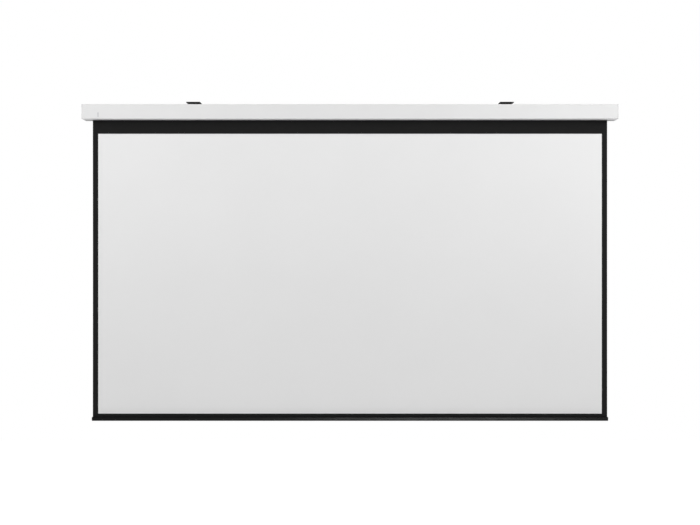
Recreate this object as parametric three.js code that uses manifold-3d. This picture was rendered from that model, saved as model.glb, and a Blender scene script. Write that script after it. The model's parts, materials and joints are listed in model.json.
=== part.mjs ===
// A motorized projection screen: an extruded aluminium case with a T-slot along its top, a tubular motor in
// a steel roller, white cloth with black borders, a weight bar in the cloth's hem, and two brackets that
// slide in the T-slot. Millimetres, +Z up, the picture faces -Y. The origin lies on the ceiling, midway
// between the brackets.
//
// Everything is drawn in the section plane of the extrusions: local x is the depth (world Y, rear positive),
// local y is the height (world Z) and local z is the length (world X).

import * as THREE from "three";
import { mergeVertices } from "three/addons/utils/BufferGeometryUtils.js";
import Module from "manifold-3d";

// Cloth and picture
const viewWidth = 2657;
const viewHeight = 1476;
const sideBorder = 28.5;
const topDrop = 71.2;
const bottomBorder = 17;
const clothThickness = 0.4;

// Clearances, shared by all the pieces
const seatGap = 0.3;
const cutOverrun = 1;
const chordError = 0.08;
const mergeDistance = 0.001;

// Case: one extrusion, with the cloth slot below and the T-slot above
const caseHeight = 77;
const caseDepth = 80;
const caseWall = 1.7;
const caseCorner = 4;
const caseDrop = 12;
const endRoom = 45;
const clothSlotWidth = 18.6;
const slotLipHeight = 6;
const channelMouth = 12;
const channelWidth = 26;
const channelLip = 2.2;
const channelHeight = 5;
const channelWall = 1.6;
const edgeRound = 0.6;
const portInset = 4.4;
const portBore = 3.2;
const portWall = 1.8;
const portSlot = 1.2;

// End caps and the steel plates that they press against the case
const capDepth = 8;
const capWall = 2.6;
const capRim = 2.2;
const capEdge = 1.4;
const capBoss = 9.6;
const capBoreDepth = 2.5;
const plateThickness = 2;
const stubSide = 10;
const stubNeck = 7.6;
const stubHead = 0.8;
const clipThickness = 1.2;
const clipWidth = 18;

// Self-tapping screws of the end caps
const capScrewShank = 2.6;
const capScrewHead = 7;
const capScrewHeadHeight = 2;
const capScrewLength = 22;

// Roller, cloth turns and motor
const rollerBehindFront = 30;
const rollerBelowTop = 42;
const rollerDiameter = 40;
const rollerWall = 1.5;
const wrapTurns = 1.5;
const headDiameter = 44;
const headLength = 18;
const headChamfer = 1.5;
const neckDiameter = 33;
const neckLength = 14;
const motorDiameter = 35;
const motorLength = 440;
const motorGroove = 0.8;
const motorGrooveWidth = 3;
const motorGrooveInset = 18;
const shaftSide = 8;
const shaftLength = 18;
const flangeDiameter = 43;
const flangeThickness = 2.4;
const adapterLength = 20;
const adapterHub = 32;
const adapterTooth = 7;
const adapterTeeth = 6;
const plugLength = 40;
const plugWall = 2.2;
const pinDiameter = 10;
const pinLength = 58;
const bearingDiameter = 28;
const bearingLength = 15;
const bearingFloor = 3;

// Limit screws in the motor head
const limitScrewDiameter = 5.6;
const limitScrewLength = 7;
const limitScrewSpacing = 7.4;
const limitSocket = 2.5;
const limitSocketDepth = 3;
const limitScrewRecess = 0.5;

// Receiver behind the front of the case, and the control unit on its rear wall
const receiverFromEnd = 87;
const receiverAboveBottom = 22.2;
const windowHeight = 25;
const windowWidth = 6.5;
const windowFlange = 1.2;
const windowFlangeThickness = 0.8;
const windowSkin = 1;
const boardThickness = 1.6;
const boardHeight = 20;
const boardWidth = 30;
const boardCorner = 1.5;
const sensorHeight = 1;
const controlLength = 120;
const controlHeight = 38;
const controlDepth = 16;
const controlFromEnd = 100;
const controlAboveBottom = 12;
const controlCorner = 2;

// Mains inlet in the left end cap
const glandBehindMiddle = 26;
const glandBelowTop = 30;
const glandBore = 8;
const glandBody = 13.4;
const glandFlange = 18;
const glandFlangeThickness = 1.2;
const glandNutAcross = 17;
const plateCableHole = 12;

// Weight bar and hem
const barHeight = 20.5;
const barDepth = 22;
const barWall = 1.5;
const barTopRound = 2.5;
const barBottomRound = 6;
const barMouth = 3;
const hemChannel = 8;
const hemChannelRound = 3.4;
const hemChannelWall = 1.4;
const hemRodDiameter = 5;
const barCapThickness = 2;
const barCapEdge = 1.2;
const barSpigotLength = 10;

// Brackets: bent steel plate, clamped to the T-slot by a spacer, a T-nut and two screws
const bracketSpacing = 1640;
const bracketWidth = 74;
const bracketThickness = 2.5;
const bracketBend = 5;
const bracketCorner = 5;
const flangeAhead = 38;
const wallClearance = 1;
const legHeight = 62;
const ceilingSlotLength = 20;
const wallSlotLength = 18;
const fixingSlotWidth = 6.5;
const fixingSlotSpread = 44;
const ceilingSlotBehind = 24;
const wallSlotBelow = 38;
const spacerLength = 56;
const spacerDepth = 24;
const spacerCorner = 3;
const nutLength = 48;
const clampScrewSpread = 26;
const clampScrewShank = 5;
const clampScrewHead = 10;
const clampScrewHeadHeight = 2.2;
const clampSocket = 3;

// Largest share of a radius that the facets may cut off, and the fewest facets of a round
const chordShare = 0.2;
const fewestFacets = 12;

// Places that follow from the sizes above
const clothWidth = viewWidth + 2 * sideBorder;
const clothEdge = clothWidth / 2;
const caseLength = clothWidth + 2 * endRoom;
const caseEnd = caseLength / 2;
const shellEnd = caseEnd - capDepth;
const caseTop = -caseDrop;
const caseBottom = caseTop - caseHeight;
const caseMiddle = (caseTop + caseBottom) / 2;
const caseFront = -caseDepth / 2;
const caseRear = caseDepth / 2;
const channelCeiling = caseTop - channelLip;
const channelFloor = channelCeiling - channelHeight;
const plateInner = shellEnd + seatGap;
const plateOuter = plateInner + plateThickness;
const rollerDepth = caseFront + rollerBehindFront;
const rollerHeight = caseTop - rollerBelowTop;
const rollerRadius = rollerDiameter / 2;
const rollerBore = rollerRadius - rollerWall;
const wrapPitch = clothThickness + seatGap;
const wrapRadius = rollerRadius + seatGap + wrapTurns * wrapPitch;
const clothPlane = rollerDepth + wrapRadius + clothThickness / 2;
const headEnd = -shellEnd + headLength;
const tubeLeft = headEnd + flangeThickness + 2 * seatGap;
const tubeRight = shellEnd - bearingLength - flangeThickness - 2 * seatGap;
const barTop = caseBottom - topDrop - viewHeight - bottomBorder;
const barEnd = clothEdge + seatGap;

const wasm = await Module();
wasm.setup();

const finish = (color, roughness, metalness) =>
  new THREE.MeshStandardMaterial({ color, roughness, metalness });
const materials = {
  whitePaint: finish(0xe6e6e6, 0.45, 0),
  whitePlastic: finish(0xe2e2e2, 0.5, 0),
  blackPaint: finish(0x2b2b2b, 0.5, 0),
  blackAnodised: finish(0x262626, 0.35, 0.4),
  blackPlastic: finish(0x1d1d1d, 0.55, 0),
  smokedPlastic: finish(0xd2d2d4, 0.25, 0),
  zincSteel: finish(0xb4b6b8, 0.4, 0.9),
  brightSteel: finish(0xc8c9ca, 0.3, 0.95),
  greyPlastic: finish(0x8c8f92, 0.55, 0),
  whiteNylon: finish(0xd9d8d2, 0.5, 0),
  greenBoard: finish(0x1f5a3a, 0.5, 0),
  whiteCloth: finish(0xe8e8e8, 0.9, 0),
  blackCloth: finish(0x1a1a1a, 0.9, 0),
  yellowPlastic: finish(0xd9a520, 0.5, 0),
};

// The number of facets that keeps a round of this radius within the chord error.
function facets(radius) {
  const step = 2 * Math.acos(1 - Math.min(chordError / radius, chordShare));
  return Math.max(fewestFacets, 2 * Math.ceil(Math.PI / step));
}

// The points of a circular arc, both ends included.
function arc(x, y, radius, from, sweep) {
  const count = Math.max(2, Math.ceil((facets(radius) * Math.abs(sweep)) / (2 * Math.PI)));
  return Array.from({ length: count + 1 }, (_, i) => {
    const angle = from + (sweep * i) / count;
    return new THREE.Vector2(x + radius * Math.cos(angle), y + radius * Math.sin(angle));
  });
}

function circle(radius, x = 0, y = 0) {
  return arc(x, y, radius, 0, 2 * Math.PI).slice(0, -1);
}

// Drops each point that falls on the one before it, where two arcs meet.
function distinct(points) {
  return points.filter((point, i) => point.distanceTo(points.at(i - 1)) > mergeDistance);
}

// A closed outline through corners [x, y, radius], with an arc in each corner that has a radius.
function outline(corners) {
  const points = corners.flatMap(([x, y, radius = 0], i) => {
    const corner = new THREE.Vector2(x, y);
    if (radius === 0) return [corner];
    const [beforeX, beforeY] = corners.at(i - 1);
    const [afterX, afterY] = corners[(i + 1) % corners.length];
    const toBefore = new THREE.Vector2(beforeX, beforeY).sub(corner).normalize();
    const toAfter = new THREE.Vector2(afterX, afterY).sub(corner).normalize();
    const halfAngle = Math.acos(toBefore.dot(toAfter)) / 2;
    const inward = toBefore.clone().add(toAfter).normalize();
    const centre = corner.clone().addScaledVector(inward, radius / Math.sin(halfAngle));
    const start = corner.clone().addScaledVector(toBefore, radius / Math.tan(halfAngle));
    const from = start.sub(centre).angle();
    const turn = Math.sign(toAfter.cross(toBefore));
    return arc(centre.x, centre.y, radius, from, turn * (Math.PI - 2 * halfAngle));
  });
  return distinct(points);
}

function roundedBox(width, height, radius, x = 0, y = 0) {
  return outline([
    [x - width / 2, y - height / 2, radius],
    [x + width / 2, y - height / 2, radius],
    [x + width / 2, y + height / 2, radius],
    [x - width / 2, y + height / 2, radius],
  ]);
}

// Extrudes an outline along local z, with the given holes through it.
function extruded(points, length, holes = []) {
  const shape = new THREE.Shape(points);
  shape.holes = holes.map((hole) => new THREE.Path(hole));
  return new THREE.ExtrudeGeometry(shape, { depth: length, bevelEnabled: false });
}

// An extrusion whose far edge is rounded: both ends are, and the near one is cut away.
function roundEnded(points, length, round) {
  const shape = new THREE.Shape(points);
  const geometry = new THREE.ExtrudeGeometry(shape, {
    depth: length,
    bevelThickness: round,
    bevelSize: round,
    bevelOffset: -round,
    bevelSegments: 3,
  });
  geometry.translate(0, 0, -round);
  const reach = 2 * (caseDepth + caseHeight);
  const waste = new THREE.BoxGeometry(reach, reach, 2 * round).translate(0, 0, -round);
  return cut(geometry, waste);
}

// Turns a profile of [radius, height] pairs about local y. It runs counterclockwise, and starts and ends on
// the axis or closes on itself.
function turned(profile) {
  const points = profile.map(([radius, height]) => new THREE.Vector2(radius, height));
  if (profile[0][0] !== 0) points.push(points[0].clone());
  return new THREE.LatheGeometry(points, facets(Math.max(...profile.map(([radius]) => radius))));
}

// The same, turned about local z.
function turnedAlong(profile) {
  return turned(profile).rotateX(Math.PI / 2);
}

function solidOf(geometry) {
  const bare = new THREE.BufferGeometry();
  bare.setAttribute("position", geometry.getAttribute("position"));
  bare.setIndex(geometry.getIndex());
  const merged = mergeVertices(bare, mergeDistance);
  const corners = merged.getIndex().array;
  const kept = [];
  for (let i = 0; i < corners.length; i += 3) {
    const face = [corners[i], corners[i + 1], corners[i + 2]];
    if (new Set(face).size === 3) kept.push(...face);
  }
  const mesh = new wasm.Mesh({
    numProp: 3,
    vertProperties: merged.getAttribute("position").array,
    triVerts: new Uint32Array(kept),
  });
  return new wasm.Manifold(mesh);
}

function geometryOf(solid) {
  const { vertProperties, triVerts } = solid.getMesh();
  const geometry = new THREE.BufferGeometry();
  geometry.setAttribute("position", new THREE.BufferAttribute(Float32Array.from(vertProperties), 3));
  geometry.setIndex(new THREE.BufferAttribute(Uint32Array.from(triVerts), 1));
  geometry.computeVertexNormals();
  return geometry;
}

function cut(body, ...tools) {
  return geometryOf(tools.reduce((solid, tool) => solid.subtract(solidOf(tool)), solidOf(body)));
}

function joined(body, ...others) {
  return geometryOf(others.reduce((solid, other) => solid.add(solidOf(other)), solidOf(body)));
}

// A hexagon, by its width across the flats.
function hexagon(across) {
  const radius = across / Math.sqrt(3);
  return Array.from({ length: 6 }, (_, i) => {
    const angle = (Math.PI * i) / 3;
    return new THREE.Vector2(radius * Math.cos(angle), radius * Math.sin(angle));
  });
}

// The waste of a hexagon socket: it reaches as far above local y = 0 as the socket is deep.
function hexagonBlock(across, depth) {
  return extruded(hexagon(across), 2 * depth).translate(0, 0, -depth).rotateX(Math.PI / 2);
}

function piece(group, name, geometry, material) {
  const mesh = new THREE.Mesh(geometry, material);
  mesh.name = name;
  group.add(mesh);
  return mesh;
}

// Case

// The centres of the four screw ports, in the corners of the case.
function portPlaces() {
  const x = caseRear - portInset;
  const upper = caseTop - portInset;
  const lower = caseBottom + portInset;
  return [
    [-x, upper],
    [x, upper],
    [-x, lower],
    [x, lower],
  ];
}

// A C-shaped port for a self-tapping screw, with its slot towards the middle of the case.
function portSection(x, y) {
  const outerRadius = portBore / 2 + portWall;
  const innerRadius = portBore / 2;
  const facing = Math.atan2(caseMiddle - y, -x);
  const outerHalf = Math.asin(portSlot / 2 / outerRadius);
  const innerHalf = Math.asin(portSlot / 2 / innerRadius);
  return [
    ...arc(x, y, outerRadius, facing + outerHalf, 2 * (Math.PI - outerHalf)),
    ...arc(x, y, innerRadius, facing - innerHalf, -2 * (Math.PI - innerHalf)),
  ];
}

function caseSection() {
  const slotFront = clothPlane - clothSlotWidth / 2;
  const slotRear = clothPlane + clothSlotWidth / 2;
  const lipTop = caseBottom + slotLipHeight;
  const innerFront = caseFront + caseWall;
  const innerRear = caseRear - caseWall;
  const innerTop = caseTop - caseWall;
  const innerBottom = caseBottom + caseWall;
  const innerCorner = caseCorner - caseWall;
  const mouth = channelMouth / 2;
  const channel = channelWidth / 2;
  const channelOuter = channel + channelWall;
  const channelUnder = channelFloor - channelWall;
  return outline([
    [slotRear, caseBottom, edgeRound],
    [caseRear, caseBottom, caseCorner],
    [caseRear, caseTop, caseCorner],
    [mouth, caseTop, edgeRound],
    [mouth, channelCeiling],
    [channel, channelCeiling],
    [channel, channelFloor],
    [-channel, channelFloor],
    [-channel, channelCeiling],
    [-mouth, channelCeiling],
    [-mouth, caseTop, edgeRound],
    [caseFront, caseTop, caseCorner],
    [caseFront, caseBottom, caseCorner],
    [slotFront, caseBottom, edgeRound],
    [slotFront, lipTop, edgeRound],
    [slotFront - caseWall, lipTop, edgeRound],
    [slotFront - caseWall, innerBottom, edgeRound],
    [innerFront, innerBottom, innerCorner],
    [innerFront, innerTop, innerCorner],
    [-channelOuter, innerTop, edgeRound],
    [-channelOuter, channelUnder, edgeRound],
    [channelOuter, channelUnder, edgeRound],
    [channelOuter, innerTop, edgeRound],
    [innerRear, innerTop, innerCorner],
    [innerRear, innerBottom, innerCorner],
    [slotRear + caseWall, innerBottom, edgeRound],
    [slotRear + caseWall, lipTop, edgeRound],
    [slotRear, lipTop, edgeRound],
  ]);
}

// A long round-ended block through the front wall, at the receiver's place. Its outline lies across local x.
function windowBlock(height, width, thickness) {
  return extruded(roundedBox(width, height, width / 2), thickness).rotateY(Math.PI / 2);
}

function buildShell(group) {
  const length = 2 * shellEnd;
  const ports = portPlaces().map(([x, y]) => extruded(portSection(x, y), length));
  const windowHole = windowBlock(windowHeight, windowWidth, caseWall + 2 * cutOverrun);
  const receiverHeight = caseBottom + receiverAboveBottom;
  windowHole.translate(caseFront - cutOverrun, receiverHeight, receiverFromEnd - capDepth);
  const shell = cut(joined(extruded(caseSection(), length), ...ports), windowHole);
  piece(group, "case_shell", shell, materials.whitePaint).position.z = -shellEnd;
}

// A moulded tray that closes one end. Its open side is at local z = 0 and faces the case.
function capGeometry(glandPlace) {
  const depth = capDepth - seatGap;
  const outside = roundedBox(caseDepth, caseHeight, caseCorner, 0, caseMiddle);
  const innerCorner = caseCorner - capRim;
  const insideWidth = caseDepth - 2 * capRim;
  const insideHeight = caseHeight - 2 * capRim;
  const inside = roundedBox(insideWidth, insideHeight, innerCorner, 0, caseMiddle);
  const pocket = extruded(inside, depth - capWall + cutOverrun).translate(0, 0, -cutOverrun);
  const bossStart = plateThickness + seatGap;
  const bosses = portPlaces().map(([x, y]) =>
    extruded(circle(capBoss / 2, x, y), depth - capEdge - bossStart).translate(0, 0, bossStart),
  );
  const fitted = bosses.map((boss) => geometryOf(solidOf(boss).intersect(solidOf(extruded(outside, depth)))));
  const bores = portPlaces().map(([x, y]) => extruded(circle(portBore / 2, x, y), depth + cutOverrun));
  const sinkRadius = capScrewHead / 2 + seatGap;
  const sinks = portPlaces().map(([x, y]) =>
    extruded(circle(sinkRadius, x, y), capBoreDepth + cutOverrun).translate(0, 0, depth - capBoreDepth),
  );
  const tray = joined(cut(roundEnded(outside, depth, capEdge), pocket), ...fitted);
  const holes = [...bores, ...sinks];
  if (glandPlace) {
    const [x, y] = glandPlace;
    const seatDepth = glandFlangeThickness + seatGap;
    holes.push(extruded(circle(glandBody / 2 + seatGap, x, y), depth + cutOverrun));
    const flangeSeat = extruded(circle(glandFlange / 2 + seatGap, x, y), seatDepth + cutOverrun);
    holes.push(flangeSeat.translate(0, 0, depth - seatDepth));
  }
  return cut(tray, ...holes);
}

// The steel plate between case and cap, with a square hole for the stub that it holds.
function plateGeometry(cableHole) {
  const inset = capRim + seatGap;
  const corner = caseCorner - capRim;
  const edge = roundedBox(caseDepth - 2 * inset, caseHeight - 2 * inset, corner, 0, caseMiddle);
  const holeSide = stubSide + 2 * seatGap;
  const stubHole = roundedBox(holeSide, holeSide, seatGap, rollerDepth, rollerHeight);
  const screwHoles = portPlaces().map(([x, y]) => circle(portBore / 2, x, y));
  const holes = [stubHole, ...screwHoles];
  if (cableHole) holes.push(circle(plateCableHole / 2, ...cableHole));
  return extruded(edge, plateThickness, holes);
}

// A U-shaped clip that slides over the neck of a stub, outside the plate.
function clipGeometry() {
  const half = clipWidth / 2;
  const slot = stubNeck / 2 + seatGap;
  const round = half - slot;
  return extruded(
    outline([
      [slot, -half, edgeRound],
      [half, -half, edgeRound],
      [half, half, round],
      [-half, half, round],
      [-half, -half, edgeRound],
      [-slot, -half, edgeRound],
      [-slot, slot],
      [slot, slot],
    ]),
    clipThickness,
  );
}

function capScrewGeometry() {
  const shank = capScrewShank / 2;
  const head = capScrewHead / 2;
  return turnedAlong([
    [0, -capScrewLength],
    [shank, shank - capScrewLength],
    [shank, 0],
    [head, 0],
    [head, capScrewHeadHeight / 2],
    [shank, capScrewHeadHeight],
    [0, capScrewHeadHeight],
  ]);
}

// Cap, plate, clip and screws of one end, drawn for the right end. The left end is turned half round about
// the vertical, so depths change sign there.
function buildCaseEnd(side, sign, plateName, clipName) {
  const end = new THREE.Group();
  if (sign < 0) end.rotation.y = Math.PI;
  const glandPlace = [sign * glandBehindMiddle, caseTop - glandBelowTop];
  const hasGland = sign < 0;
  const cap = piece(end, `end_cap_${side}`, capGeometry(hasGland && glandPlace), materials.whitePlastic);
  cap.position.z = plateInner;
  const capFace = caseEnd - capBoreDepth + seatGap;
  portPlaces().forEach(([x, y], i) => {
    const screw = piece(end, `cap_screw_${side}_${i + 1}`, capScrewGeometry(), materials.zincSteel);
    screw.position.set(x, y, capFace);
  });
  const clip = piece(end, clipName, clipGeometry(), materials.zincSteel);
  clip.position.set(sign * rollerDepth, rollerHeight, plateOuter + seatGap);
  if (hasGland) buildGland(end, glandPlace);
  const plate = piece(
    end,
    plateName,
    plateGeometry(hasGland && [glandBehindMiddle, caseTop - glandBelowTop]),
    materials.zincSteel,
  );
  plate.rotation.y = sign < 0 ? Math.PI : 0;
  plate.position.z = sign < 0 ? plateOuter : plateInner;
  return end;
}

function buildGland(group, [x, y]) {
  const inner = plateOuter + seatGap - caseEnd;
  const gland = turnedAlong([
    [glandBore / 2, inner],
    [glandBody / 2, inner],
    [glandBody / 2, -glandFlangeThickness],
    [glandFlange / 2, -glandFlangeThickness],
    [glandFlange / 2, -glandFlangeThickness / 2],
    [glandFlange / 2 - glandFlangeThickness, 0],
    [glandBore / 2, 0],
  ]);
  piece(group, "cable_gland", gland, materials.blackPlastic).position.set(x, y, caseEnd);
  const nutThickness = caseEnd - capWall - plateOuter - 2 * seatGap;
  const nut = extruded(hexagon(glandNutAcross), nutThickness, [circle(glandBody / 2 + seatGap)]);
  piece(group, "gland_nut", nut, materials.blackPlastic).position.set(x, y, plateOuter + seatGap);
}

function buildReceiver(group) {
  const place = new THREE.Group();
  const receiverHeight = caseBottom + receiverAboveBottom;
  place.position.set(caseFront, receiverHeight, -caseEnd + receiverFromEnd);
  const lensHeight = windowHeight - 2 * seatGap;
  const lensWidth = windowWidth - 2 * seatGap;
  const lens = windowBlock(lensHeight, lensWidth, caseWall + seatGap + windowFlangeThickness);
  const flangeHeight = windowHeight + 2 * windowFlange;
  const flangeWidth = windowWidth + 2 * windowFlange;
  const flange = windowBlock(flangeHeight, flangeWidth, windowFlangeThickness);
  flange.translate(caseWall + seatGap, 0, 0);
  const recess = windowBlock(lensHeight - 2 * windowSkin, lensWidth - 2 * windowSkin, caseDepth);
  recess.translate(windowSkin, 0, 0);
  piece(place, "receiver_window", cut(joined(lens, flange), recess), materials.smokedPlastic);
  const boardStart = caseWall + windowFlangeThickness + 2 * seatGap;
  const board = extruded(roundedBox(boardWidth, boardHeight, boardCorner), boardThickness);
  board.rotateY(Math.PI / 2);
  const sensorWidth = lensWidth - 2 * windowSkin - 2 * seatGap;
  const sensor = windowBlock(sensorWidth * 2, sensorWidth, sensorHeight + boardThickness);
  sensor.translate(-sensorHeight, 0, 0);
  const receiver = piece(place, "receiver_board", joined(board, sensor), materials.greenBoard);
  receiver.position.x = boardStart;
  group.add(place);
}

// The control unit: a shallow box on the rear wall, with a flanged lid.
function buildControlBox(group) {
  const bodyDepth = controlDepth - boardThickness;
  const lid = extruded(roundedBox(controlDepth, controlHeight, controlCorner), controlLength);
  const groove = new THREE.BoxGeometry(boardThickness, boardThickness, controlLength + 2 * cutOverrun);
  groove.translate(controlDepth / 2 - bodyDepth, controlHeight / 2, controlLength / 2);
  const lowerGroove = groove.clone().translate(0, -controlHeight, 0);
  const box = piece(group, "control_box", cut(lid, groove, lowerGroove), materials.greyPlastic);
  const x = caseRear - caseWall - seatGap - controlDepth / 2;
  const y = caseBottom + controlAboveBottom + controlHeight / 2;
  box.position.set(x, y, -caseEnd + controlFromEnd);
}

// Roller and motor: solids of revolution about the roller axis

// A square stub that passes through an end plate, with a neck for the clip. It starts at local z = 0 on the
// piece that carries it and grows outwards.
function stubGeometry() {
  const box = (side, from, to) =>
    new THREE.BoxGeometry(side, side, to - from).translate(0, 0, (from + to) / 2);
  const neckStart = plateThickness + 2 * seatGap;
  const neckEnd = neckStart + clipThickness + seatGap;
  return joined(
    box(stubSide, -cutOverrun, neckStart),
    box(stubNeck, neckStart - cutOverrun, neckEnd + stubHead / 2),
    box(stubSide, neckEnd, neckEnd + stubHead),
  );
}

// The direction from the roller axis to the middle of the cloth slot, where a hand reaches the limit screws.
function limitDirection() {
  return Math.atan2(caseBottom - rollerHeight, clothPlane - rollerDepth);
}

// The places of the two limit screws along the motor head.
function limitPlaces() {
  const middle = -shellEnd + headLength / 2;
  return [middle - limitScrewSpacing / 2, middle + limitScrewSpacing / 2];
}

function buildMotor(group) {
  const head = headDiameter / 2;
  const neck = neckDiameter / 2;
  const headProfile = turnedAlong([
    [0, -shellEnd],
    [head - headChamfer, -shellEnd],
    [head, -shellEnd + headChamfer],
    [head, headEnd],
    [neck, headEnd],
    [neck, headEnd + neckLength],
    [0, headEnd + neckLength],
  ]);
  const stub = stubGeometry().rotateY(Math.PI).translate(0, 0, -shellEnd);
  const holeBottom = head - limitScrewRecess - limitScrewLength - seatGap;
  const holes = limitPlaces().map((z) =>
    turned([
      [0, holeBottom],
      [limitScrewDiameter / 2 + seatGap, holeBottom],
      [limitScrewDiameter / 2 + seatGap, head + cutOverrun],
      [0, head + cutOverrun],
    ])
      .rotateZ(limitDirection() - Math.PI / 2)
      .translate(0, 0, z),
  );
  piece(group, "motor_head", cut(joined(headProfile, stub), ...holes), materials.blackPlastic);

  const radius = motorDiameter / 2;
  const start = headEnd + neckLength + seatGap;
  const end = start + motorLength;
  const grooveRadius = radius - motorGroove;
  const firstGroove = start + motorGrooveInset;
  const lastGroove = end - motorGrooveInset;
  const body = turnedAlong([
    [0, start],
    [radius - motorGroove, start],
    [radius, start + motorGroove],
    [radius, firstGroove],
    [grooveRadius, firstGroove],
    [grooveRadius, firstGroove + motorGrooveWidth],
    [radius, firstGroove + motorGrooveWidth],
    [radius, lastGroove - motorGrooveWidth],
    [grooveRadius, lastGroove - motorGrooveWidth],
    [grooveRadius, lastGroove],
    [radius, lastGroove],
    [radius, end - motorGroove],
    [radius - motorGroove, end],
    [0, end],
  ]);
  piece(group, "motor_body", body, materials.zincSteel);

  const shaftStart = end + seatGap;
  const shaft = new THREE.BoxGeometry(shaftSide, shaftSide, shaftLength);
  piece(group, "motor_shaft", shaft, materials.brightSteel).position.z = shaftStart + shaftLength / 2;

  // The drive wheel: a hub with teeth that grip the tube
  const tip = rollerBore - seatGap;
  const teeth = Array.from({ length: adapterTeeth }, (_, i) =>
    new THREE.BoxGeometry(tip, adapterTooth, adapterLength)
      .translate(tip / 2, 0, adapterLength / 2)
      .rotateZ((2 * Math.PI * i) / adapterTeeth),
  );
  const rim = extruded(circle(tip), adapterLength);
  const hub = extruded(circle(adapterHub / 2), adapterLength);
  const toothed = joined(hub, ...teeth);
  const trimmed = geometryOf(solidOf(toothed).intersect(solidOf(rim)));
  const boreSide = shaftSide + 2 * seatGap;
  const bore = new THREE.BoxGeometry(boreSide, boreSide, 2 * (adapterLength + cutOverrun));
  const adapter = piece(group, "drive_adapter", cut(trimmed, bore), materials.blackPlastic);
  adapter.position.z = shaftStart + shaftLength - adapterLength / 2;

  limitPlaces().forEach((z, i) => {
    const name = ["limit_screw_up", "limit_screw_down"][i];
    const material = [materials.whiteNylon, materials.yellowPlastic][i];
    const screw = piece(group, name, limitScrewGeometry(), material);
    screw.rotation.z = limitDirection() - Math.PI / 2;
    const reach = head - limitScrewRecess;
    screw.position.set(reach * Math.cos(limitDirection()), reach * Math.sin(limitDirection()), z);
  });
}

// An adjusting screw with a hexagon socket. Its outer end is at the local origin and it points along -y.
function limitScrewGeometry() {
  const radius = limitScrewDiameter / 2;
  const screw = turned([
    [0, -limitScrewLength],
    [radius, -limitScrewLength],
    [radius, -edgeRound],
    [radius - edgeRound, 0],
    [0, 0],
  ]);
  return cut(screw, hexagonBlock(limitSocket, limitSocketDepth));
}

// The section of the cloth turns: a spiral from the tangent at the rear, over the top and round the tube.
function wrapSection() {
  const sweep = wrapTurns * 2 * Math.PI;
  const count = Math.ceil(wrapTurns * facets(wrapRadius));
  const spiral = (offset) =>
    Array.from({ length: count + 1 }, (_, i) => {
      const angle = (sweep * i) / count;
      const radius = wrapRadius + offset - (wrapPitch * angle) / (2 * Math.PI);
      return new THREE.Vector2(radius * Math.cos(angle), radius * Math.sin(angle));
    });
  return [...spiral(0), ...spiral(clothThickness).reverse()];
}

function buildRoller(group) {
  const tube = turnedAlong([
    [rollerBore, tubeLeft],
    [rollerRadius, tubeLeft],
    [rollerRadius, tubeRight],
    [rollerBore, tubeRight],
  ]);
  piece(group, "roller_tube", tube, materials.zincSteel);

  const wraps = piece(group, "fabric_wraps", extruded(wrapSection(), clothWidth), materials.blackCloth);
  wraps.position.z = -clothEdge;

  const flange = flangeDiameter / 2;
  const sleeve = rollerBore - seatGap;
  const crownBore = neckDiameter / 2 + seatGap;
  const crownStart = headEnd + seatGap;
  const crown = turnedAlong([
    [crownBore, crownStart],
    [flange, crownStart],
    [flange, crownStart + flangeThickness],
    [sleeve, crownStart + flangeThickness],
    [sleeve, headEnd + neckLength - seatGap],
    [crownBore, headEnd + neckLength - seatGap],
  ]);
  piece(group, "crown_adapter", crown, materials.blackPlastic);

  const pinBore = pinDiameter / 2 + seatGap;
  const plugEnd = tubeRight + seatGap + flangeThickness;
  const plugStart = tubeRight - plugLength;
  const hub = pinBore + plugWall;
  const web = plugStart + plugLength / 2;
  const plug = turnedAlong([
    [pinBore, plugStart],
    [hub, plugStart],
    [hub, web - plugWall],
    [sleeve - plugWall, web - plugWall],
    [sleeve - plugWall, plugStart],
    [sleeve, plugStart],
    [sleeve, tubeRight + seatGap],
    [flange, tubeRight + seatGap],
    [flange, plugEnd],
    [pinBore, plugEnd],
  ]);
  piece(group, "idler_plug", plug, materials.blackPlastic);

  const pinEnd = shellEnd - bearingFloor - seatGap;
  const pinRadius = pinDiameter / 2;
  const pin = turnedAlong([
    [0, pinEnd - pinLength],
    [pinRadius, pinEnd - pinLength],
    [pinRadius, pinEnd - edgeRound],
    [pinRadius - edgeRound, pinEnd],
    [0, pinEnd],
  ]);
  piece(group, "idler_pin", pin, materials.brightSteel);

  const bearingOuter = bearingDiameter / 2;
  const bearingStart = shellEnd - bearingLength;
  const cup = turnedAlong([
    [0, shellEnd - bearingFloor],
    [pinBore, shellEnd - bearingFloor],
    [pinBore, bearingStart],
    [pinBore + plugWall, bearingStart],
    [bearingOuter, shellEnd - bearingFloor],
    [bearingOuter, shellEnd],
    [0, shellEnd],
  ]);
  const stub = stubGeometry().translate(0, 0, shellEnd);
  piece(group, "idler_bearing", joined(cup, stub), materials.whiteNylon);
}

// Weight bar: its local origin is on the cloth, at the top of the bar

function barOutside() {
  const half = barDepth / 2;
  return [
    [half, 0, barTopRound],
    [half, -barHeight, barBottomRound],
    [-half, -barHeight, barBottomRound],
    [-half, 0, barTopRound],
  ];
}

// The bar's section: a keyhole channel for the hem, open to the top.
function barSection() {
  const mouth = barMouth / 2;
  const channel = hemChannel / 2;
  const channelBottom = -barWall - hemChannel;
  const [topRear, bottomRear, bottomFront, topFront] = barOutside();
  return outline([
    [mouth, 0, edgeRound],
    topRear,
    bottomRear,
    bottomFront,
    topFront,
    [-mouth, 0, edgeRound],
    [-mouth, -barWall],
    [-channel, -barWall, edgeRound],
    [-channel, channelBottom, hemChannelRound],
    [channel, channelBottom, hemChannelRound],
    [channel, -barWall, edgeRound],
    [mouth, -barWall],
  ]);
}

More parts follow.
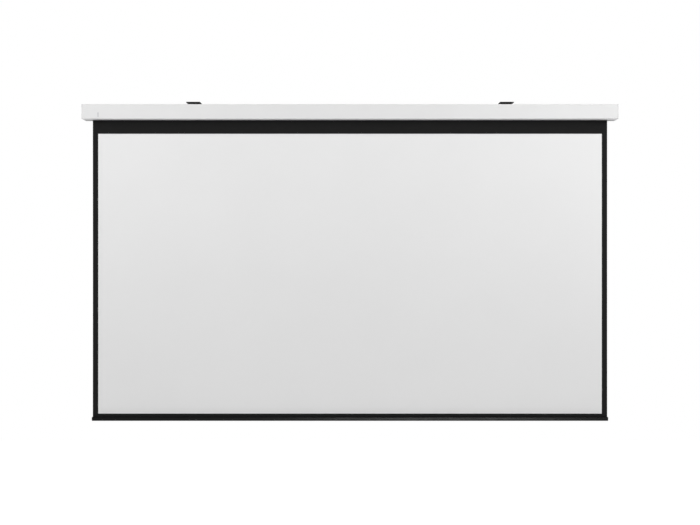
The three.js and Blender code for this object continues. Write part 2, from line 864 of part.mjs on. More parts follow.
// The hollow of the bar, which passes under the hem channel and up both of its sides.
function barHollow() {
  const half = barDepth / 2 - barWall;
  const web = hemChannel / 2 + hemChannelWall;
  const webBottom = -barWall - hemChannel - hemChannelWall;
  const innerRound = barBottomRound - barWall;
  return outline([
    [half, -barWall, barTopRound - barWall],
    [web, -barWall, edgeRound],
    [web, webBottom, edgeRound],
    [-web, webBottom, edgeRound],
    [-web, -barWall, edgeRound],
    [-half, -barWall, barTopRound - barWall],
    [-half, -barHeight + barWall, innerRound],
    [half, -barHeight + barWall, innerRound],
  ]);
}

// The part of the hollow below the hem channel, made smaller by a clearance.
function barLowerRoom() {
  const half = barDepth / 2 - barWall - seatGap;
  const top = -barWall - hemChannel - hemChannelWall - seatGap;
  const bottom = -barHeight + barWall + seatGap;
  const round = barBottomRound - barWall;
  return outline([
    [half, top, edgeRound],
    [-half, top, edgeRound],
    [-half, bottom, round],
    [half, bottom, round],
  ]);
}

// The hem: two plies of cloth that part round the rod.
function hemSection(centre) {
  const inner = hemRodDiameter / 2 + seatGap;
  const outer = inner + clothThickness;
  const half = Math.asin(clothThickness / outer);
  const ring = arc(0, centre, outer, Math.PI / 2 + half, 2 * (Math.PI - half));
  const points = [
    new THREE.Vector2(clothThickness, -seatGap),
    new THREE.Vector2(-clothThickness, -seatGap),
    ...ring,
  ];
  return [points, circle(inner, 0, centre)];
}

function buildWeightBar(group) {
  const length = 2 * barEnd;
  const profile = extruded(barSection(), length, [barHollow()]);
  piece(group, "weight_bar", profile, materials.blackAnodised).position.z = -barEnd;

  const hemCentre = -barWall - 2 * seatGap - clothThickness - hemRodDiameter / 2;
  const [hemOutline, hemHole] = hemSection(hemCentre);
  const hem = piece(group, "fabric_hem", extruded(hemOutline, clothWidth, [hemHole]), materials.blackCloth);
  hem.position.z = -clothEdge;
  const rodLength = clothWidth;
  const rod = extruded(circle(hemRodDiameter / 2, 0, hemCentre), rodLength);
  piece(group, "hem_rod", rod, materials.brightSteel).position.z = -rodLength / 2;

  const ballastEnd = barEnd - barSpigotLength - seatGap;
  const ballast = extruded(barLowerRoom(), 2 * ballastEnd);
  piece(group, "ballast_bar", ballast, materials.zincSteel).position.z = -ballastEnd;

  for (const [side, turn] of [["left", Math.PI], ["right", 0]]) {
    const face = roundEnded(outline(barOutside()), barCapThickness, barCapEdge);
    const spigot = extruded(barLowerRoom(), barSpigotLength + seatGap + barCapThickness / 2);
    spigot.translate(0, 0, -barSpigotLength - seatGap);
    const end = new THREE.Group();
    end.rotation.y = turn;
    const cap = piece(end, `bar_cap_${side}`, joined(face, spigot), materials.blackPlastic);
    cap.position.z = barEnd + seatGap;
    group.add(end);
  }
}

// Brackets: the local origin is on the ceiling, above the middle of the T-slot

// The plate's section: the flange under the ceiling, a bend, and the leg down the wall.
function bracketSection() {
  const rear = caseRear + wallClearance + bracketThickness;
  return outline([
    [-flangeAhead, -bracketThickness],
    [rear - bracketThickness, -bracketThickness, bracketBend - bracketThickness],
    [rear - bracketThickness, -legHeight],
    [rear, -legHeight],
    [rear, 0, bracketBend],
    [-flangeAhead, 0],
  ]);
}

// A block that rounds the outer corners of a flat plate when the plate is kept inside it.
function cornerGuard(width, height, radius) {
  return extruded(roundedBox(width, height, radius), 2 * (caseDepth + legHeight));
}

function bracketPlate() {
  const plate = extruded(bracketSection(), bracketWidth).translate(0, 0, -bracketWidth / 2);
  const rear = caseRear + wallClearance + bracketThickness;
  const span = rear + flangeAhead;

  // The flange's front corners are rounded in plan, and the leg's lower corners in the view from behind
  const planGuard = cornerGuard(2 * span, bracketWidth, bracketCorner).rotateX(Math.PI / 2);
  planGuard.translate(rear, caseDepth + legHeight, 0);
  const rearGuard = cornerGuard(bracketWidth, 2 * legHeight, bracketCorner).rotateY(Math.PI / 2);
  rearGuard.translate(-caseDepth - legHeight, 0, 0);

  const slots = [-1, 1].flatMap((sign) => {
    const z = (sign * fixingSlotSpread) / 2;
    const through = 2 * (bracketThickness + cutOverrun);
    const slotEnd = fixingSlotWidth / 2;
    const ceilingSlot = extruded(roundedBox(ceilingSlotLength, fixingSlotWidth, slotEnd), through);
    ceilingSlot.translate(0, 0, -through / 2).rotateX(Math.PI / 2);
    ceilingSlot.translate(ceilingSlotBehind, -bracketThickness / 2, z);
    const wallSlot = extruded(roundedBox(fixingSlotWidth, wallSlotLength, slotEnd), through);
    wallSlot.translate(0, 0, -through / 2).rotateY(Math.PI / 2);
    wallSlot.translate(rear - bracketThickness / 2, -wallSlotBelow, z);
    return [ceilingSlot, wallSlot];
  });

  const sinks = [-1, 1].map((sign) => clampSink().translate(0, 0, (sign * clampScrewSpread) / 2));
  const kept = solidOf(plate).intersect(solidOf(planGuard)).intersect(solidOf(rearGuard));
  return cut(geometryOf(kept), ...slots, ...sinks);
}

// The countersink of a clamp screw in the flange.
function clampSink() {
  const head = clampScrewHead / 2 + seatGap;
  const shank = clampScrewShank / 2 + seatGap;
  return turned([
    [0, -bracketThickness - cutOverrun],
    [shank, -bracketThickness - cutOverrun],
    [shank, -clampScrewHeadHeight - seatGap],
    [head, -seatGap],
    [head, cutOverrun],
    [0, cutOverrun],
  ]);
}

// A countersunk screw with a hexagon socket, its head a clearance below the flange's top.
function clampScrewGeometry() {
  const head = clampScrewHead / 2;
  const shank = clampScrewShank / 2;
  const end = channelFloor + seatGap + channelLip;
  const screw = turned([
    [0, end],
    [shank - edgeRound, end],
    [shank, end + edgeRound],
    [shank, -clampScrewHeadHeight - seatGap],
    [head, -seatGap],
    [0, -seatGap],
  ]);
  return cut(screw, hexagonBlock(clampSocket, clampScrewHeadHeight));
}

function buildBracket(group, side) {
  piece(group, `bracket_${side}`, bracketPlate(), materials.blackPaint);

  const bore = (top, bottom, z) =>
    turned([
      [0, bottom],
      [clampScrewShank / 2 + seatGap, bottom],
      [clampScrewShank / 2 + seatGap, top],
      [0, top],
    ]).translate(0, 0, z);
  const screwPlaces = [-clampScrewSpread / 2, clampScrewSpread / 2];

  const spacerTop = -bracketThickness - seatGap;
  const spacerHeight = spacerTop - caseTop - seatGap;
  const spacerPlan = extruded(roundedBox(spacerDepth, spacerLength, spacerCorner), spacerHeight);
  const spacerBody = spacerPlan.rotateX(Math.PI / 2).translate(0, spacerTop, 0);
  const spacerBores = screwPlaces.map((z) => bore(0, caseTop, z));
  piece(group, `spacer_${side}`, cut(spacerBody, ...spacerBores), materials.blackPlastic);

  const neck = channelMouth / 2 - seatGap;
  const foot = channelWidth / 2 - seatGap;
  const footTop = channelCeiling - seatGap;
  const footBottom = channelFloor + seatGap;
  const nutSection = outline([
    [-neck, caseTop],
    [-neck, footTop],
    [-foot, footTop, edgeRound],
    [-foot, footBottom, edgeRound],
    [foot, footBottom, edgeRound],
    [foot, footTop, edgeRound],
    [neck, footTop],
    [neck, caseTop],
  ]);
  const nutBody = extruded(nutSection, nutLength).translate(0, 0, -nutLength / 2);
  const nutBores = screwPlaces.map((z) => bore(0, channelFloor - cutOverrun, z));
  piece(group, `t_nut_${side}`, cut(nutBody, ...nutBores), materials.zincSteel);

  screwPlaces.forEach((z, i) => {
    const screw = piece(group, `clamp_screw_${side}_${i + 1}`, clampScrewGeometry(), materials.zincSteel);
    screw.position.z = z;
  });
}

// The whole screen

function buildScreen() {
  const screen = new THREE.Group();
  const section = new THREE.Group();
  const depthAxis = new THREE.Vector3(0, 1, 0);
  const heightAxis = new THREE.Vector3(0, 0, 1);
  const lengthAxis = new THREE.Vector3(1, 0, 0);
  section.quaternion.setFromRotationMatrix(
    new THREE.Matrix4().makeBasis(depthAxis, heightAxis, lengthAxis),
  );
  screen.add(section);

  buildShell(section);
  section.add(buildCaseEnd("left", -1, "motor_plate", "motor_clip"));
  section.add(buildCaseEnd("right", 1, "idler_plate", "idler_clip"));
  buildReceiver(section);
  buildControlBox(section);

  const roller = new THREE.Group();
  roller.position.set(rollerDepth, rollerHeight, 0);
  buildMotor(roller);
  buildRoller(roller);
  section.add(roller);

  const clothTop = rollerHeight - seatGap;
  const sheet = new THREE.BoxGeometry(clothThickness, clothTop - barTop, clothWidth);
  const cloth = piece(section, "screen_fabric", sheet, materials.whiteCloth);
  cloth.position.set(clothPlane, (clothTop + barTop) / 2, 0);

  const bar = new THREE.Group();
  bar.position.set(clothPlane, barTop, 0);
  buildWeightBar(bar);
  section.add(bar);

  for (const [side, sign] of [["left", -1], ["right", 1]]) {
    const bracket = new THREE.Group();
    bracket.position.z = (sign * bracketSpacing) / 2;
    buildBracket(bracket, side);
    section.add(bracket);
  }
  return screen;
}

export default buildScreen();
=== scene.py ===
# The looks of a motorized projection screen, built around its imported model. Metres, +Z up. The picture
# faces -Y, and the origin lies on the ceiling, midway between the two brackets.

import json
import math

import bmesh
import bpy
from mathutils import Matrix, Vector, noise


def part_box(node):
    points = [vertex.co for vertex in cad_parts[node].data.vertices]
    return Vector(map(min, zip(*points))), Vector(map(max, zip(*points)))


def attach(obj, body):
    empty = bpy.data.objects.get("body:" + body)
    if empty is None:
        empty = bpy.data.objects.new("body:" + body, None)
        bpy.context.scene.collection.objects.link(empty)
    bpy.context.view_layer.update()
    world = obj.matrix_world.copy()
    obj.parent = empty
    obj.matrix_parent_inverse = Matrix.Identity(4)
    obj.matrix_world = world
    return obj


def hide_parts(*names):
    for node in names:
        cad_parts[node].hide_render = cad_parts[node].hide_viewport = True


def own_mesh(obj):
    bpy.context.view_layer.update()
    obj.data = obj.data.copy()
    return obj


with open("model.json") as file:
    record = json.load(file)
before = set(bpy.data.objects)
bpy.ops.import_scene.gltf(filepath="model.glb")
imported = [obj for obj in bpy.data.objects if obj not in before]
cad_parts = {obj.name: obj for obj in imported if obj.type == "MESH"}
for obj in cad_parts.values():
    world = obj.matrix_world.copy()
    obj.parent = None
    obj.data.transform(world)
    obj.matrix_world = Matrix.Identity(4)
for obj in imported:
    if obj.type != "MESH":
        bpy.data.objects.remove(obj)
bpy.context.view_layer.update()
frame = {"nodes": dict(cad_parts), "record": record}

MM = 0.001

# The photograph's camera: level, on the middle of the screen, a little below the case
CAMERA_PLACE = (0.0, -4.54, -0.839)
CAMERA_LENS = 44.36
SENSOR_WIDTH = 36.0
CAMERA_REACH = 200.0

# The room: an even sky, a pale floor far enough down for views from below, soft boxes that light the object
# from each side, and a low one that shows in its gloss
FLOOR_HEIGHT = -8.0
FLOOR_SIZE = 60.0
FLOOR_COLOR = 0.95
FLOOR_GLOW = 0.6
WORLD_STRENGTH = 0.53
LAMPS = {
    "lamp_left": {"place": (-2.6, -2.2, 0.5), "target": (-1, 0, -0.6), "size": (1.8, 1.8), "watts": 33},
    "lamp_right": {"place": (2.6, -2.2, 0.6), "target": (1, 0, -0.5), "size": (1.8, 1.8), "watts": 40},
    "lamp_top": {"place": (0, -1.6, 0.4), "target": (0, 0, -0.5), "size": (3.4, 0.5), "watts": 6},
    "lamp_under": {"place": (0, -0.25, -3.2), "target": (0, -0.05, 0), "size": (3.4, 0.6), "watts": 19},
    "lamp_rear": {"place": (0, 3.4, 0.7), "target": (0, 0, -0.6), "size": (3.4, 1.6), "watts": 60},
}
GLOSS_LAMP = {"place": (0.9, -4.2, -2.35), "target": (0.4, 0, -1.67), "size": (2.2, 0.4), "watts": 50}

# Picture and cloth. A wave's spread is how many of its features a metre holds along X and along Z, and its
# offset picks the part of the noise that it is read from.
VIEW_WIDTH = 2.657
VIEW_HEIGHT = 1.476
VIEW_TOP = -0.1602
VIEW_BOTTOM = VIEW_TOP - VIEW_HEIGHT
CLOTH_THICKNESS = 0.4 * MM
SEAT_GAP = 0.3 * MM
PLY_GAP = 0.02 * MM
WRAP_TURNS = 1.5
HEM_ROD_RADIUS = 2.5 * MM
WELD_HEIGHT = 14 * MM
LONG_WAVE = {"height": 1.4 * MM, "spread": (1.6, 0.7), "offset": 3.1}
SHORT_WAVE = {"height": 0.4 * MM, "spread": (5.0, 1.3), "offset": 9.7}
EDGE_CURL = 1.2 * MM
EDGE_CURL_WIDTH = 60 * MM
DROP_ROWS = 12
VIEW_ROWS = 60
BORDER_ROWS = 6
WELD_ROWS = 4
VIEW_COLUMNS = 96
EDGE_COLUMNS = 4

# Screws of the end caps
CAP_SCREWS = 4
CAP_SHANK = 1.3 * MM
CAP_HEAD = 3.5 * MM
CAP_HEAD_HEIGHT = 2.0 * MM
CAP_HEAD_RIM = 0.7 * MM
CAP_HEAD_FLAT = 1.2 * MM
CAP_LENGTH = 22 * MM
CAP_POINT = 2.4 * MM
CROSS_WING = 1.9 * MM
CROSS_HALF = 0.45 * MM
CROSS_DEPTH = 1.3 * MM
CROSS_TAPER = 0.45

# Screws of the bracket clamps
CLAMP_SCREWS = 2
CLAMP_SHANK = 2.5 * MM
CLAMP_HEAD = 5.0 * MM
CLAMP_HEAD_HEIGHT = 2.2 * MM
CLAMP_SOCKET = 3.0 * MM
CLAMP_SOCKET_DEPTH = 2.0 * MM
HEXAGON = 6
THREAD_PITCH = 0.8 * MM
THREAD_DEPTH = 0.3 * MM

# Mains inlet
GLAND_FLANGE = 9.0 * MM
GLAND_BODY = 6.7 * MM
GLAND_BORE = 4.0 * MM
GLAND_FLANGE_THICKNESS = 1.2 * MM
GLAND_LIP = 0.5 * MM

# Shading and rounds
SMOOTH_ANGLE = math.radians(38)
BEVEL_ANGLE = math.radians(50)
FINE_EDGE = 0.1 * MM
JOIN_REACH = 0.001 * MM
OVERRUN = 1.0 * MM
LATHE_STEPS = 72
ARC_STEPS = 8
BEVEL_STEPS = 2

# The middle of Blender's noise, which it rarely leaves
FIELD_LOW = 0.3
FIELD_HIGH = 0.7

# Surfaces. A scale is features a metre, tints are the darkest and lightest share of the colour, and sheens
# are how far the roughness goes down and up.
DETAIL = 3.0
FINE_DETAIL = 2.0
PAINT = {"tint_scale": 5.0, "tints": (0.985, 1.01), "sheen_scale": 40.0, "sheens": (0.03, 0.04)}
PAINT_PEEL_SCALE = 650.0
PLASTIC = {"tint_scale": 30.0, "tints": (0.965, 1.02), "sheen_scale": 200.0, "sheens": (0.04, 0.05)}
PLASTIC_GRAIN_SCALE = 2200.0
METAL_TINT_SCALE = 25.0
METAL_LINE_SCALE = 900.0
METAL_LINE_DETAIL = 4.0
METAL_SHEENS = (0.07, 0.1)
CLOTH_TINT_SCALE = 2.5
CLOTH_TINT_DETAIL = 5.0
CLOTH_TINTS = (0.99, 1.006)
CLOTH_SHEEN_SCALE = 60.0
CLOTH_SHEENS = (0.04, 0.03)
THREADS = {"Scale": 320.0, "Distortion": 0.8, "Detail": 1.0}
WEAVE_HEIGHT = 0.04 * MM
WEAVE_STRENGTH = 0.4
COAT_SCALE = 1800.0
COAT_HEIGHT = 0.03 * MM
COAT_STRENGTH = 0.5


# Materials

def grey(level):
    return (level, level, level)


def opaque(color):
    return (*color, 1.0)


class Finish:
    """A Principled material whose colour, roughness and bumps are worked out from noise in object space."""

    def __init__(self, name, color, roughness, metallic=0.0, specular=0.5):
        self.material = bpy.data.materials.new(name)
        self.material.use_nodes = True
        self.material.diffuse_color = opaque(color)
        self.nodes, self.links = self.material.node_tree.nodes, self.material.node_tree.links
        self.shader = self.nodes["Principled BSDF"]
        self.color, self.roughness = color, roughness
        self.shader.inputs["Metallic"].default_value = metallic
        self.shader.inputs["Specular IOR Level"].default_value = specular

    def place(self):
        return self.nodes.new("ShaderNodeTexCoord").outputs["Object"]

    def field(self, scale, detail=DETAIL, stretch=(1.0, 1.0, 1.0)):
        """Noise with about scale features a metre, drawn out along an axis whose stretch is small."""
        mapping = self.nodes.new("ShaderNodeMapping")
        mapping.inputs["Scale"].default_value = stretch
        cloud = self.nodes.new("ShaderNodeTexNoise")
        cloud.inputs["Scale"].default_value = scale
        cloud.inputs["Detail"].default_value = detail
        self.links.new(self.place(), mapping.inputs["Vector"])
        self.links.new(mapping.outputs["Vector"], cloud.inputs["Vector"])
        return cloud.outputs["Fac"]

    def vary_color(self, field, dark_share, light_share):
        ramp = self.nodes.new("ShaderNodeValToRGB")
        dark, light = ramp.color_ramp.elements
        dark.position, light.position = FIELD_LOW, FIELD_HIGH
        dark.color = opaque(c * dark_share for c in self.color)
        light.color = opaque(c * light_share for c in self.color)
        self.links.new(field, ramp.inputs["Fac"])
        self.links.new(ramp.outputs["Color"], self.shader.inputs["Base Color"])

    def vary_roughness(self, field, less, more):
        span = self.nodes.new("ShaderNodeMapRange")
        span.inputs["From Min"].default_value = FIELD_LOW
        span.inputs["From Max"].default_value = FIELD_HIGH
        span.inputs["To Min"].default_value = self.roughness - less
        span.inputs["To Max"].default_value = self.roughness + more
        self.links.new(field, span.inputs["Value"])
        self.links.new(span.outputs["Result"], self.shader.inputs["Roughness"])

    def bump(self, field, height, strength=1.0):
        """Raises the surface by a field to a height in metres, on top of the bumps that are there."""
        node = self.nodes.new("ShaderNodeBump")
        node.inputs["Distance"].default_value = height
        node.inputs["Strength"].default_value = strength
        self.links.new(field, node.inputs["Height"])
        target = self.shader.inputs["Normal"]
        if target.is_linked:
            self.links.new(target.links[0].from_socket, node.inputs["Normal"])
        self.links.new(node.outputs["Normal"], target)

    def vary(self, tint_scale, tints, sheen_scale, sheens):
        self.vary_color(self.field(tint_scale), *tints)
        self.vary_roughness(self.field(sheen_scale), *sheens)


def powder_coat(name, color, roughness, specular, peel):
    """Baked powder paint: very even colour, with a fine orange peel."""
    finish = Finish(name, color, roughness, specular=specular)
    finish.vary(**PAINT)
    finish.bump(finish.field(PAINT_PEEL_SCALE, FINE_DETAIL), peel)
    return finish.material


def moulding(name, color, roughness, specular=0.4, grain=0.02 * MM):
    """Moulded plastic with a spark-eroded surface."""
    finish = Finish(name, color, roughness, specular=specular)
    finish.vary(**PLASTIC)
    finish.bump(finish.field(PLASTIC_GRAIN_SCALE, FINE_DETAIL), grain)
    return finish.material


def metal(name, color, roughness, stretch=(1.0, 1.0, 1.0), grain=0.008 * MM, dark=0.9, light=1.06):
    """Bare, plated or anodised metal. A small stretch draws lines along that axis."""
    finish = Finish(name, color, roughness, metallic=1.0)
    finish.vary_color(finish.field(METAL_TINT_SCALE, DETAIL, stretch), dark, light)
    lines = finish.field(METAL_LINE_SCALE, METAL_LINE_DETAIL, stretch)
    finish.vary_roughness(lines, *METAL_SHEENS)
    finish.bump(lines, grain)
    return finish.material


def coated_cloth(name, color, roughness, specular):
    """Coated screen cloth: matt, with the faint square weave of its carrier under the coat."""
    finish = Finish(name, color, roughness, specular=specular)
    finish.vary_color(finish.field(CLOTH_TINT_SCALE, CLOTH_TINT_DETAIL), *CLOTH_TINTS)
    finish.vary_roughness(finish.field(CLOTH_SHEEN_SCALE), *CLOTH_SHEENS)
    place = finish.place()
    weave = finish.nodes.new("ShaderNodeMath")
    weave.operation = "MULTIPLY"
    for crossing, axis in zip(weave.inputs, ("X", "Z")):
        threads = finish.nodes.new("ShaderNodeTexWave")
        threads.wave_type, threads.bands_direction = "BANDS", axis
        for setting, value in THREADS.items():
            threads.inputs[setting].default_value = value
        finish.links.new(place, threads.inputs["Vector"])
        finish.links.new(threads.outputs["Fac"], crossing)
    finish.bump(weave.outputs["Value"], WEAVE_HEIGHT, WEAVE_STRENGTH)
    finish.bump(finish.field(COAT_SCALE), COAT_HEIGHT, COAT_STRENGTH)
    return finish.material


ALONG = (0.01, 1.0, 1.0)
MATERIALS = {
    "case_paint": powder_coat("white_powder_coat", grey(0.73), 0.45, 0.25, 0.018 * MM),
    "cap_plastic": moulding("white_moulding", grey(0.725), 0.5, 0.25),
    "zinc_steel": metal("zinc_plate", (0.62, 0.64, 0.66), 0.36, grain=0.003 * MM),
    "bright_steel": metal("drawn_steel", (0.68, 0.68, 0.69), 0.28, ALONG),
    "black_plastic": moulding("black_moulding", grey(0.014), 0.5, 0.3),
    "window_plastic": moulding("receiver_window_plastic", (0.6, 0.6, 0.62), 0.16, 0.5, 0.003 * MM),
    "board": moulding("solder_mask", (0.02, 0.12, 0.06), 0.35, 0.5),
    "grey_plastic": moulding("grey_moulding", (0.3, 0.31, 0.32), 0.5),
    "nylon": moulding("natural_nylon", (0.72, 0.7, 0.65), 0.45),
    "yellow_plastic": moulding("yellow_moulding", (0.75, 0.5, 0.03), 0.45),
    "screen_cloth": coated_cloth("white_picture_cloth", grey(0.79), 0.95, 0.1),
    "black_cloth": coated_cloth("black_border_cloth", grey(0.0105), 0.85, 0.12),
    "bar_black": metal("black_anodised", grey(0.0105), 0.32, ALONG, 0.006 * MM, 0.85, 1.15),
    "bracket_black": powder_coat("black_powder_coat", grey(0.016), 0.45, 0.35, 0.03 * MM),
}


# Mesh helpers

def mesh_from(build, name, *slots):
    """A mesh from a bmesh, with its faces turned outwards and its material slots filled."""
    bmesh.ops.recalc_face_normals(build, faces=build.faces)
    mesh = bpy.data.meshes.new(name)
    build.to_mesh(mesh)
    build.free()
    for slot in slots:
        mesh.materials.append(MATERIALS[slot])
    return mesh


def add_piece(name, mesh, body, slot, *replaced):
    """Puts a finished mesh in the scene, riding on a body, in place of the CAD nodes that it stands for."""
    piece = bpy.data.objects.new(name, mesh)
    bpy.context.scene.collection.objects.link(piece)
    if not mesh.materials:
        mesh.materials.append(MATERIALS[slot])
    finish_edges(piece)
    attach(piece, body)
    if replaced:
        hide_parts(*replaced)
    return piece


def smooth_group():
    """Geometry nodes that shade a mesh smooth but keep its sharp edges."""
    group = bpy.data.node_groups.new("smooth_by_angle", "GeometryNodeTree")
    for way in ("INPUT", "OUTPUT"):
        group.interface.new_socket("Geometry", in_out=way, socket_type="NodeSocketGeometry")
    nodes, links = group.nodes, group.links
    start, end = nodes.new("NodeGroupInput"), nodes.new("NodeGroupOutput")
    faces = nodes.new("GeometryNodeSetShadeSmooth")
    faces.domain = "FACE"
    edges = nodes.new("GeometryNodeSetShadeSmooth")
    edges.domain = "EDGE"
    edges.inputs["Shade Smooth"].default_value = False
    turn = nodes.new("GeometryNodeInputMeshEdgeAngle")
    sharp = nodes.new("FunctionNodeCompare")
    sharp.operation = "GREATER_THAN"
    sharp.inputs["B"].default_value = SMOOTH_ANGLE
    links.new(turn.outputs["Unsigned Angle"], sharp.inputs["A"])
    links.new(sharp.outputs["Result"], edges.inputs["Selection"])
    links.new(start.outputs["Geometry"], faces.inputs["Geometry"])
    links.new(faces.outputs["Geometry"], edges.inputs["Geometry"])
    links.new(edges.outputs["Geometry"], end.inputs["Geometry"])
    return group


SMOOTH = smooth_group()


def finish_edges(piece, width=0.0):
    """Rounds the sharp edges of a piece by a width, and shades its curves smooth and its flats flat."""
    if width > 0:
        edge = piece.modifiers.new("edge_round", "BEVEL")
        edge.width = width
        edge.segments = BEVEL_STEPS
        edge.limit_method = "ANGLE"
        edge.angle_limit = BEVEL_ANGLE
    piece.modifiers.new("smooth", "NODES").node_group = SMOOTH
    flat = piece.modifiers.new("flat_faces", "WEIGHTED_NORMAL")
    flat.keep_sharp = True


def lathe(profile, name, steps=LATHE_STEPS):
    """A mesh turned about Z from a profile of (radius, height) pairs, closed on the axis or on itself."""
    build = bmesh.new()
    rings = []
    for radius, height in profile:
        angles = [2 * math.pi * i / steps for i in range(steps if radius > 0 else 1)]
        ring = [(radius * math.cos(angle), radius * math.sin(angle), height) for angle in angles]
        rings.append([build.verts.new(place) for place in ring])
    on_axis = profile[0][0] == 0
    for lower, upper in zip(rings, rings[1:] if on_axis else rings[1:] + rings[:1]):
        for i in range(steps):
            j = (i + 1) % steps
            below = (lower[i % len(lower)], lower[j % len(lower)])
            above = (upper[j % len(upper)], upper[i % len(upper)])
            build.faces.new(tuple(dict.fromkeys(below + above)))
    return mesh_from(build, name)


def quarter(radius, height, across, up, start=0.0, end=math.pi / 2):
    """Profile points on an ellipse about (radius, height), from one angle to another."""
    turns = [start + (end - start) * i / ARC_STEPS for i in range(ARC_STEPS + 1)]
    return [(radius + across * math.cos(turn), height + up * math.sin(turn)) for turn in turns]


def wedge(half_x, half_y, low, high, taper):
    """A block about Z whose lower end is narrowed."""
    build = bmesh.new()
    corners = ((-half_x, -half_y), (half_x, -half_y), (half_x, half_y), (-half_x, half_y))
    bottom = [build.verts.new((x * taper, y * taper, low)) for x, y in corners]
    top = [build.verts.new((x, y, high)) for x, y in corners]
    build.faces.new(bottom[::-1])
    build.faces.new(top)
    for i, _ in enumerate(corners):
        j = (i + 1) % len(corners)
        build.faces.new((bottom[i], bottom[j], top[j], top[i]))
    return mesh_from(build, "wedge")


def cut_by(mesh, *cutters):
    """The mesh with the cutters' volumes taken away."""
    helpers = []
    for source in (mesh, *cutters):
        helper = bpy.data.objects.new("cut_helper", source)
        bpy.context.scene.collection.objects.link(helper)
        helpers.append(helper)
    body = helpers[0]
    for helper in helpers[1:]:
        waste = body.modifiers.new("cut", "BOOLEAN")
        waste.operation, waste.solver, waste.object = "DIFFERENCE", "EXACT", helper
    bpy.context.view_layer.update()
    build = bmesh.new()
    build.from_object(body, bpy.context.evaluated_depsgraph_get())
    bmesh.ops.remove_doubles(build, verts=build.verts, dist=JOIN_REACH)
    for helper in helpers:
        bpy.data.objects.remove(helper)
    return mesh_from(build, mesh.name)


def middle(node):
    low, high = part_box(node)
    return (Vector(low) + Vector(high)) / 2


# The CAD nodes that stay

# The most that a node's edges are rounded: Blender rounds them less where they stand close
EDGE_ROUND = {
    "weight_bar": 0.25 * MM,
    "bar_cap_left": 0.3 * MM,
    "bar_cap_right": 0.3 * MM,
    "receiver_window": 0.2 * MM,
    "bracket_left": 0.35 * MM,
    "bracket_right": 0.35 * MM,
    "control_box": 0.7 * MM,
    "gland_nut": 0.3 * MM,
    "motor_plate": 0.25 * MM,
    "idler_plate": 0.25 * MM,
    "limit_screw_up": 0.15 * MM,
    "limit_screw_down": 0.15 * MM,
}


def dress_cad_nodes():
    """Gives each CAD node its material, and joins its triangles for the rounding and the shading."""
    slots = {row["node"]: row["material_slot"] for row in frame["record"]["subparts"]}
    for name, node in frame["nodes"].items():
        node.data.materials.clear()
        node.data.materials.append(MATERIALS[slots[name]])
        node.modifiers.new("join", "WELD").merge_threshold = JOIN_REACH
        finish_edges(node, EDGE_ROUND.get(name, 0.0))


# Screws and mains inlet

def cap_screw_mesh():
    """A pan-head self-tapping screw, its seat at z = 0 and its head up, with a cross recess."""
    dome = quarter(CAP_HEAD_FLAT, CAP_HEAD_RIM, CAP_HEAD - CAP_HEAD_FLAT, CAP_HEAD_HEIGHT - CAP_HEAD_RIM)
    body = lathe([
        (0, -CAP_LENGTH),
        (CAP_SHANK, CAP_POINT - CAP_LENGTH),
        (CAP_SHANK, 0),
        (CAP_HEAD - FINE_EDGE, 0),
        (CAP_HEAD, FINE_EDGE),
        *dome,
        (0, CAP_HEAD_HEIGHT),
    ], "cap_screw")
    low, high = CAP_HEAD_HEIGHT - CROSS_DEPTH, CAP_HEAD_HEIGHT + OVERRUN
    wings = ((CROSS_WING, CROSS_HALF), (CROSS_HALF, CROSS_WING))
    return cut_by(body, *(wedge(x, y, low, high, CROSS_TAPER) for x, y in wings))


def clamp_screw_mesh(length):
    """A countersunk screw, its head's top at z = 0, with a hexagon socket and a threaded shank."""
    start = THREAD_DEPTH - length
    threads = int((length - THREAD_DEPTH - CLAMP_HEAD_HEIGHT) / THREAD_PITCH) - 1
    crests = [start + THREAD_PITCH * i for i in range(threads + 1)]
    valleys = [crest + THREAD_PITCH / 2 for crest in crests[:-1]]
    thread = [(CLAMP_SHANK, crests[0])]
    for valley, crest in zip(valleys, crests[1:]):
        thread += [(CLAMP_SHANK - THREAD_DEPTH, valley), (CLAMP_SHANK, crest)]
    body = lathe([
        (0, -length),
        (CLAMP_SHANK - THREAD_DEPTH, -length),
        *thread,
        (CLAMP_SHANK, -CLAMP_HEAD_HEIGHT),
        (CLAMP_HEAD, -FINE_EDGE),
        (CLAMP_HEAD - FINE_EDGE, 0),
        (0, 0),
    ], "clamp_screw")
    corner = CLAMP_SOCKET / 2 / math.cos(math.pi / HEXAGON)
    socket = lathe([
        (0, -CLAMP_SOCKET_DEPTH),
        (corner, -CLAMP_SOCKET_DEPTH),
        (corner, OVERRUN),
        (0, OVERRUN),
    ], "socket", HEXAGON)
    return cut_by(body, socket)


def own_turn(number):
    """A turn about a screw's axis by its number in radians, so that its neighbours stop otherwise."""
    return Matrix.Rotation(number, 4, "Z")


def build_cap_screws():
    screw = cap_screw_mesh()
    for side, sign in (("left", -1), ("right", 1)):
        outwards = Matrix.Rotation(sign * math.pi / 2, 4, "Y")
        for i in range(1, CAP_SCREWS + 1):
            node = f"cap_screw_{side}_{i}"
            low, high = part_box(node)
            top = low.x if sign < 0 else high.x
            centre = middle(node)
            centre.x = top - sign * CAP_HEAD_HEIGHT
            mesh = screw.copy()
            mesh.transform(Matrix.Translation(centre) @ outwards @ own_turn(i + sign))
            add_piece(f"{node}_cross_head", mesh, "case", "zinc_steel", node)


def build_clamp_screws():
    for side in ("left", "right"):
        for i in range(1, CLAMP_SCREWS + 1):
            node = f"clamp_screw_{side}_{i}"
            low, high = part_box(node)
            centre = middle(node)
            centre.z = high.z
            mesh = clamp_screw_mesh(high.z - low.z)
            mesh.transform(Matrix.Translation(centre) @ own_turn(i))
            add_piece(f"{node}_socket_head", mesh, f"{side}_bracket", "zinc_steel", node)


